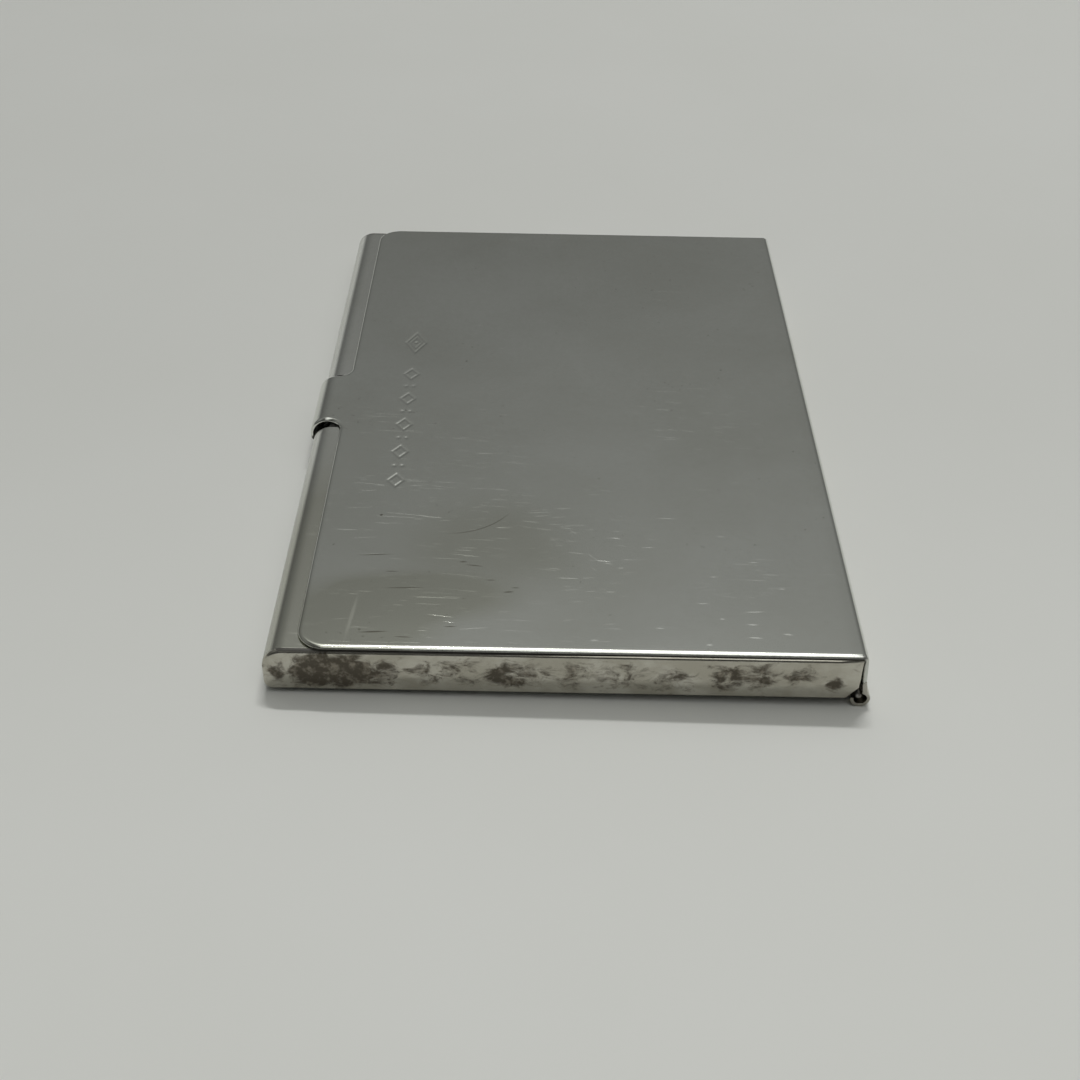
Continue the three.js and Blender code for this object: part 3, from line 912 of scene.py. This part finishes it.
def solder_web(node):
    """The fillet of solder between a tube knuckle and the chamfer, along its whole length."""
    low, high = (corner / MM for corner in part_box(node))
    rise, run = math.sin(CHAMFER_SLOPE), math.cos(CHAMFER_SLOPE)
    foot = REAR_FACE - CHAMFER_RUN
    middle = (BARREL_BACK - foot) * run + BARREL_UP * rise
    left, right = low.x + 0.1, high.x - 0.1
    section = []
    for aside, deep in ((-0.75, 0.0), (-0.62, 0.08), (-0.45, 0.3), (0.45, 0.3), (0.62, 0.08), (0.75, 0.0)):
        along = middle + aside
        section.append((foot + along * run + rise * deep, along * rise - run * deep))
    piece = prism("solder_" + node[-1], section, left, right, "base", [node], HINGE_SILVER)
    round_edges(piece, 0.04)
    return piece


# ---- Stage, light and camera ----

FLOOR_REACH = 3.0                        # metres, each way
FLOOR_GAP = 0.01                         # between the table and the hinge barrel
PAPER = (0.735, 0.74, 0.70, 1)
PALER_PAPER = (0.775, 0.78, 0.75, 1)
PAPER_UNEVEN = 0.0006                    # metres

# Lights: place and size in metres, power in watts.
KEY_LIGHT = ((-1.06, 0.12, 2.26), (0.9, 0.11), 21.0)
FILL_LIGHT = ((0.18, 0.30, 0.80), (0.5, 0.5), 0.55)
ROOM_TINT = (0.985, 1.0, 0.965)

CAMERA_PLACE = (0.15859, -0.00297, 0.10548)
CAMERA_DOWN = math.radians(37.19)
CAMERA_ASIDE = math.radians(0.09)
CAMERA_TILT = math.radians(1.12)
LENS = 50.62
SENSOR = 36


def floor():
    """A pale table. The case lies on its hinge barrel and its slightly bulged underside, tilted a little."""
    toe = (NOSE_Y + TOE_RADIUS, UNDER_Z - TOE_CLEARANCE)
    barrel = (NOSE_Y + BARREL_BACK, UNDER_Z + BARREL_UP - BARREL_RADIUS)
    slope = (barrel[1] - toe[1]) / (barrel[0] - toe[0])
    height = toe[1] - slope * toe[0] - FLOOR_GAP
    reach = FLOOR_REACH
    corners = [(-reach, -reach), (reach, -reach), (reach, reach), (-reach, reach)]
    mesh = bpy.data.meshes.new("floor")
    mesh.from_pydata([(x, y, height * MM + slope * y) for x, y in corners], [], [(0, 1, 2, 3)])
    table = bpy.data.objects.new("floor", mesh)
    bpy.context.scene.collection.objects.link(table)

    material, n, shader = surface("floor_paper", Roughness=0.75)
    place = millimetres(n)
    pale = n.blend(n.noise(place, 0.02, detail=3.0), PAPER, PALER_PAPER)
    parts = n.add("ShaderNodeSeparateXYZ")
    n.link(place, parts.inputs[0])
    # Painted light falloff: the paper's colour is darker towards the far end and towards -Y.
    shade = n.math("ADD", n.ramp(parts.outputs["X"], -30, 90, 0.86, 0.98),
                   n.ramp(parts.outputs["Y"], -120, 120, -0.03, 0.04, smooth=False))
    tone = n.add("ShaderNodeVectorMath", operation="SCALE")
    n.link(pale, tone.inputs[0])
    n.link(shade, tone.inputs["Scale"])
    n.link(tone.outputs[0], shader.inputs["Base Color"])
    n.bump(shader, n.noise(place, 0.05, detail=4.0), 0.12, PAPER_UNEVEN)
    mesh.materials.append(material)


def softbox(name, place, size, power):
    """A white rectangular light that looks at the case."""
    data = bpy.data.lights.new(name, "AREA")
    data.shape = "RECTANGLE"
    data.size, data.size_y = size
    data.energy = power
    lamp = bpy.data.objects.new(name, data)
    lamp.location = place
    lamp.rotation_mode = "QUATERNION"
    lamp.rotation_quaternion = (-Vector(place)).to_track_quat("-Z", "Y")
    bpy.context.scene.collection.objects.link(lamp)


def room():
    """A dim room, pale at the horizon and darker towards +X, with a bright strip overhead."""
    world = bpy.data.worlds.new("room")
    bpy.context.scene.world = world
    world.use_nodes = True
    n = Nodes(world.node_tree)
    out = n.add("ShaderNodeOutputWorld")
    sky = n.add("ShaderNodeBackground", Strength=1.0)
    n.link(sky.outputs[0], out.inputs["Surface"])
    parts = n.add("ShaderNodeSeparateXYZ")
    n.link(n.add("ShaderNodeTexCoord").outputs["Generated"], parts.inputs[0])
    up, along, side = parts.outputs["Z"], parts.outputs["X"], parts.outputs["Y"]

    overhead = n.ramp(up, 0.66, 0.84, 0.0, 1.0)
    strip = n.math("MULTIPLY", overhead, n.ramp(n.math("ABSOLUTE", side), 0.40, 0.16))
    walls = n.ramp(up, 0.02, 0.66, 0.05, 0.255, smooth=False)
    walls = n.math("MULTIPLY", walls, n.ramp(up, 0.70, 0.90, 1.0, 0.35))
    walls = n.math("MULTIPLY", walls, n.ramp(along, 0.05, 0.35, 1.0, 0.40))
    walls = n.math("MULTIPLY", walls, n.ramp(side, -0.16, 0.12, 0.88, 1.0, smooth=False))
    horizon = n.ramp(up, 0.24, 0.02, 0.0, 0.34)
    level = n.math("ADD", n.math("ADD", walls, strip), horizon)
    tinted = n.add("ShaderNodeCombineColor")
    for channel, share in zip(("Red", "Green", "Blue"), ROOM_TINT):
        n.link(n.math("MULTIPLY", level, share), tinted.inputs[channel])
    n.link(tinted.outputs[0], sky.inputs["Color"])


def camera():
    """The main view: from beyond the +X end, looking down along the case."""
    data = bpy.data.cameras.new("camera")
    data.sensor_width = SENSOR
    data.lens = LENS
    data.clip_start, data.clip_end = 0.005, 20
    flat = math.cos(CAMERA_DOWN)
    ahead = Vector((-math.cos(CAMERA_ASIDE) * flat, math.sin(CAMERA_ASIDE) * flat, -math.sin(CAMERA_DOWN)))
    level = Vector((math.sin(CAMERA_ASIDE), math.cos(CAMERA_ASIDE), 0))
    over = level.cross(ahead)
    right = level * math.cos(CAMERA_TILT) + over * math.sin(CAMERA_TILT)
    up = over * math.cos(CAMERA_TILT) - level * math.sin(CAMERA_TILT)
    turn = Matrix((right, up, -ahead)).transposed().to_4x4()
    eye = bpy.data.objects.new("camera", data)
    eye.matrix_world = Matrix.Translation(CAMERA_PLACE) @ turn
    bpy.context.scene.collection.objects.link(eye)
    bpy.context.scene.camera = eye


def main():
    lid_sheet()
    base_body()
    end_plate("end_plate_right", "end_cap_right", 1)
    end_plate("end_plate_left", "end_cap_left", -1)
    for node in ("lid_knuckle_1", "lid_knuckle_2", "lid_knuckle_3"):
        curled_knuckle(node)
    for node in ("base_knuckle_1", "base_knuckle_2"):
        tube_knuckle(node)
        solder_web(node)
    pin_wire()

    floor()
    softbox("key", *KEY_LIGHT)
    softbox("fill", *FILL_LIGHT)
    room()
    camera()
    bpy.context.scene.view_settings.view_transform = "Standard"


main()
